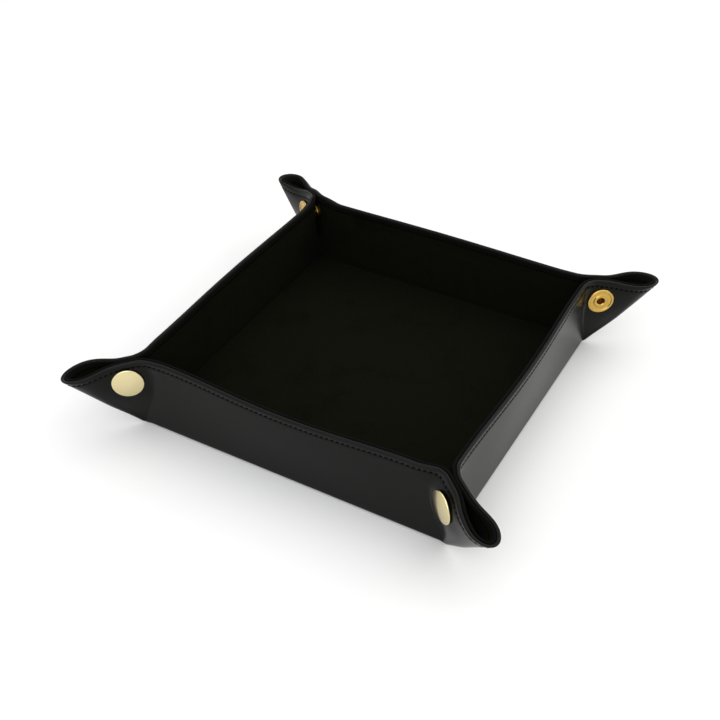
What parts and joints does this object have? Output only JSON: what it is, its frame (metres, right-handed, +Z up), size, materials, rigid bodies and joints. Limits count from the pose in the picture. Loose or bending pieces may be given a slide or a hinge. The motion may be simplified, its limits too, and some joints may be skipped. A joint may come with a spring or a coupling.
{
  "type": "valet tray",
  "caption": "Square lined leather valet tray; walls fold up from a flat sheet and each corner is pinched into a looped ear held by a press stud.",
  "frame": {"origin": "centre of the tray's underside, on the surface it stands on", "axes": "+Z up out of the tray, +X to the right and -Y to the front as pictured"},
  "size_m": [0.2194, 0.2092, 0.04],
  "materials": {
    "black_leather": "smooth glossy leather",
    "black_suede": "matt napped suede",
    "stiffener_board": "plain fibreboard",
    "pale_gold_cap": "polished pale gold",
    "snap_brass": "bright brass",
    "spring_steel": "drawn wire"
  },
  "bodies": {
    "base": {"base_leather": "black_leather", "base_board": "stiffener_board", "base_lining": "black_suede"},
    "front_wall": {"front_wall_leather": "black_leather", "front_wall_board": "stiffener_board", "front_wall_lining": "black_suede"},
    "right_wall": {"right_wall_leather": "black_leather", "right_wall_board": "stiffener_board", "right_wall_lining": "black_suede"},
    "rear_wall": {"rear_wall_leather": "black_leather", "rear_wall_board": "stiffener_board", "rear_wall_lining": "black_suede"},
    "left_wall": {"left_wall_leather": "black_leather", "left_wall_board": "stiffener_board", "left_wall_lining": "black_suede"},
    "front_left_cap_ear": {"front_left_cap_ear_leather": "black_leather", "front_left_cap_ear_lining": "black_suede", "front_left_snap_cap": "pale_gold_cap", "front_left_snap_socket": "snap_brass", "front_left_snap_spring": "spring_steel"},
    "front_left_cap_ear_loop": {"front_left_cap_ear_loop": "black_leather"},
    "front_left_stud_ear": {"front_left_stud_ear_leather": "black_leather", "front_left_stud_ear_lining": "black_suede", "front_left_snap_stud": "snap_brass", "front_left_snap_post": "snap_brass"},
    "front_left_stud_ear_loop": {"front_left_stud_ear_loop": "black_leather"},
    "front_right_cap_ear": {"front_right_cap_ear_leather": "black_leather", "front_right_cap_ear_lining": "black_suede", "front_right_snap_cap": "pale_gold_cap", "front_right_snap_socket": "snap_brass", "front_right_snap_spring": "spring_steel"},
    "front_right_cap_ear_loop": {"front_right_cap_ear_loop": "black_leather"},
    "front_right_stud_ear": {"front_right_stud_ear_leather": "black_leather", "front_right_stud_ear_lining": "black_suede", "front_right_snap_stud": "snap_brass", "front_right_snap_post": "snap_brass"},
    "front_right_stud_ear_loop": {"front_right_stud_ear_loop": "black_leather"},
    "rear_right_cap_ear": {"rear_right_cap_ear_leather": "black_leather", "rear_right_cap_ear_lining": "black_suede", "rear_right_snap_cap": "pale_gold_cap", "rear_right_snap_socket": "snap_brass", "rear_right_snap_spring": "spring_steel"},
    "rear_right_cap_ear_loop": {"rear_right_cap_ear_loop": "black_leather"},
    "rear_right_stud_ear": {"rear_right_stud_ear_leather": "black_leather", "rear_right_stud_ear_lining": "black_suede", "rear_right_snap_stud": "snap_brass", "rear_right_snap_post": "snap_brass"},
    "rear_right_stud_ear_loop": {"rear_right_stud_ear_loop": "black_leather"},
    "rear_left_cap_ear": {"rear_left_cap_ear_leather": "black_leather", "rear_left_cap_ear_lining": "black_suede", "rear_left_snap_cap": "pale_gold_cap", "rear_left_snap_socket": "snap_brass", "rear_left_snap_spring": "spring_steel"},
    "rear_left_cap_ear_loop": {"rear_left_cap_ear_loop": "black_leather"},
    "rear_left_stud_ear": {"rear_left_stud_ear_leather": "black_leather", "rear_left_stud_ear_lining": "black_suede", "rear_left_snap_stud": "snap_brass", "rear_left_snap_post": "snap_brass"},
    "rear_left_stud_ear_loop": {"rear_left_stud_ear_loop": "black_leather"}
  },
  "joints": [
    {"name": "front_wall_fold", "type": "hinge", "parent": "base", "child": "front_wall", "pos_m": [0, -0.08, 0], "axis": [1, 0, 0], "range_deg": [0, 84]},
    {"name": "right_wall_fold", "type": "hinge", "parent": "base", "child": "right_wall", "pos_m": [0.08, 0, 0], "axis": [0, 1, 0], "range_deg": [0, 84]},
    {"name": "rear_wall_fold", "type": "hinge", "parent": "base", "child": "rear_wall", "pos_m": [0, 0.08, 0], "axis": [-1, 0, 0], "range_deg": [0, 84]},
    {"name": "left_wall_fold", "type": "hinge", "parent": "base", "child": "left_wall", "pos_m": [-0.08, 0, 0], "axis": [0, -1, 0], "range_deg": [0, 84]},
    {"name": "front_left_cap_ear_crease", "type": "hinge", "parent": "front_wall", "child": "front_left_cap_ear", "pos_m": [-0.075, -0.0767, 0], "axis": [-0.1031, 0, -0.9947], "range_deg": [0, 39], "deforming": ["front_left_snap_spring"]},
    {"name": "front_left_cap_ear_uncurl", "type": "hinge", "parent": "front_left_cap_ear", "child": "front_left_cap_ear_loop", "pos_m": [-0.08011, -0.08141, 0.002], "axis": [-0.5057, -0.4487, 0.7368], "range_deg": [0, 92], "deforming": ["front_left_cap_ear_loop"]},
    {"name": "front_left_stud_ear_crease", "type": "hinge", "parent": "left_wall", "child": "front_left_stud_ear", "pos_m": [-0.0767, -0.075, 0], "axis": [0, 0.0625, 0.998], "range_deg": [0, 55]},
    {"name": "front_left_stud_ear_uncurl", "type": "hinge", "parent": "front_left_stud_ear", "child": "front_left_stud_ear_loop", "pos_m": [-0.08138, -0.07971, 0.002], "axis": [0.5707, 0.3625, -0.7368], "range_deg": [0, 92], "deforming": ["front_left_stud_ear_loop"]},
    {"name": "front_right_cap_ear_crease", "type": "hinge", "parent": "front_wall", "child": "front_right_cap_ear", "pos_m": [0.075, -0.0767, 0], "axis": [-0.1031, 0, 0.9947], "range_deg": [0, 39], "deforming": ["front_right_snap_spring"]},
    {"name": "front_right_cap_ear_uncurl", "type": "hinge", "parent": "front_right_cap_ear", "child": "front_right_cap_ear_loop", "pos_m": [0.08011, -0.08141, 0.002], "axis": [-0.5057, 0.4487, -0.7368], "range_deg": [0, 92], "deforming": ["front_right_cap_ear_loop"]},
    {"name": "front_right_stud_ear_crease", "type": "hinge", "parent": "right_wall", "child": "front_right_stud_ear", "pos_m": [0.0767, -0.075, 0], "axis": [0, -0.0625, -0.998], "range_deg": [0, 55]},
    {"name": "front_right_stud_ear_uncurl", "type": "hinge", "parent": "front_right_stud_ear", "child": "front_right_stud_ear_loop", "pos_m": [0.08138, -0.07971, 0.002], "axis": [0.5707, -0.3625, 0.7368], "range_deg": [0, 92], "deforming": ["front_right_stud_ear_loop"]},
    {"name": "rear_right_cap_ear_crease", "type": "hinge", "parent": "rear_wall", "child": "rear_right_cap_ear", "pos_m": [0.075, 0.0767, 0], "axis": [0.1031, 0, -0.9947], "range_deg": [0, 39], "deforming": ["rear_right_snap_spring"]},
    {"name": "rear_right_cap_ear_uncurl", "type": "hinge", "parent": "rear_right_cap_ear", "child": "rear_right_cap_ear_loop", "pos_m": [0.08011, 0.08141, 0.002], "axis": [0.5057, 0.4487, 0.7368], "range_deg": [0, 92], "deforming": ["rear_right_cap_ear_loop"]},
    {"name": "rear_right_stud_ear_crease", "type": "hinge", "parent": "right_wall", "child": "rear_right_stud_ear", "pos_m": [0.0767, 0.075, 0], "axis": [0, -0.0625, 0.998], "range_deg": [0, 55]},
    {"name": "rear_right_stud_ear_uncurl", "type": "hinge", "parent": "rear_right_stud_ear", "child": "rear_right_stud_ear_loop", "pos_m": [0.08138, 0.07971, 0.002], "axis": [-0.5707, -0.3625, -0.7368], "range_deg": [0, 92], "deforming": ["rear_right_stud_ear_loop"]},
    {"name": "rear_left_cap_ear_crease", "type": "hinge", "parent": "rear_wall", "child": "rear_left_cap_ear", "pos_m": [-0.075, 0.0767, 0], "axis": [0.1031, 0, 0.9947], "range_deg": [0, 39], "deforming": ["rear_left_snap_spring"]},
    {"name": "rear_left_cap_ear_uncurl", "type": "hinge", "parent": "rear_left_cap_ear", "child": "rear_left_cap_ear_loop", "pos_m": [-0.08011, 0.08141, 0.002], "axis": [0.5057, -0.4487, -0.7368], "range_deg": [0, 92], "deforming": ["rear_left_cap_ear_loop"]},
    {"name": "rear_left_stud_ear_crease", "type": "hinge", "parent": "left_wall", "child": "rear_left_stud_ear", "pos_m": [-0.0767, 0.075, 0], "axis": [0, 0.0625, -0.998], "range_deg": [0, 55]},
    {"name": "rear_left_stud_ear_uncurl", "type": "hinge", "parent": "rear_left_stud_ear", "child": "rear_left_stud_ear_loop", "pos_m": [-0.08138, 0.07971, 0.002], "axis": [-0.5707, 0.3625, 0.7368], "range_deg": [0, 92], "deforming": ["rear_left_stud_ear_loop"]}
  ],
  "couplings": [
    {"joint": "right_wall_fold", "follows": "front_wall_fold", "ratio": 1},
    {"joint": "rear_wall_fold", "follows": "front_wall_fold", "ratio": 1},
    {"joint": "left_wall_fold", "follows": "front_wall_fold", "ratio": 1},
    {"joint": "front_left_cap_ear_crease", "follows": "front_wall_fold", "ratio": 0.44048},
    {"joint": "front_left_cap_ear_uncurl", "follows": "front_wall_fold", "ratio": 1.0714},
    {"joint": "front_left_stud_ear_crease", "follows": "front_wall_fold", "ratio": 0.63095},
    {"joint": "front_left_stud_ear_uncurl", "follows": "front_wall_fold", "ratio": 1.0714},
    {"joint": "front_right_cap_ear_crease", "follows": "front_wall_fold", "ratio": 0.44048},
    {"joint": "front_right_cap_ear_uncurl", "follows": "front_wall_fold", "ratio": 1.0714},
    {"joint": "front_right_stud_ear_crease", "follows": "front_wall_fold", "ratio": 0.63095},
    {"joint": "front_right_stud_ear_uncurl", "follows": "front_wall_fold", "ratio": 1.0714},
    {"joint": "rear_right_cap_ear_crease", "follows": "front_wall_fold", "ratio": 0.44048},
    {"joint": "rear_right_cap_ear_uncurl", "follows": "front_wall_fold", "ratio": 1.0714},
    {"joint": "rear_right_stud_ear_crease", "follows": "front_wall_fold", "ratio": 0.63095},
    {"joint": "rear_right_stud_ear_uncurl", "follows": "front_wall_fold", "ratio": 1.0714},
    {"joint": "rear_left_cap_ear_crease", "follows": "front_wall_fold", "ratio": 0.44048},
    {"joint": "rear_left_cap_ear_uncurl", "follows": "front_wall_fold", "ratio": 1.0714},
    {"joint": "rear_left_stud_ear_crease", "follows": "front_wall_fold", "ratio": 0.63095},
    {"joint": "rear_left_stud_ear_uncurl", "follows": "front_wall_fold", "ratio": 1.0714}
  ]
}
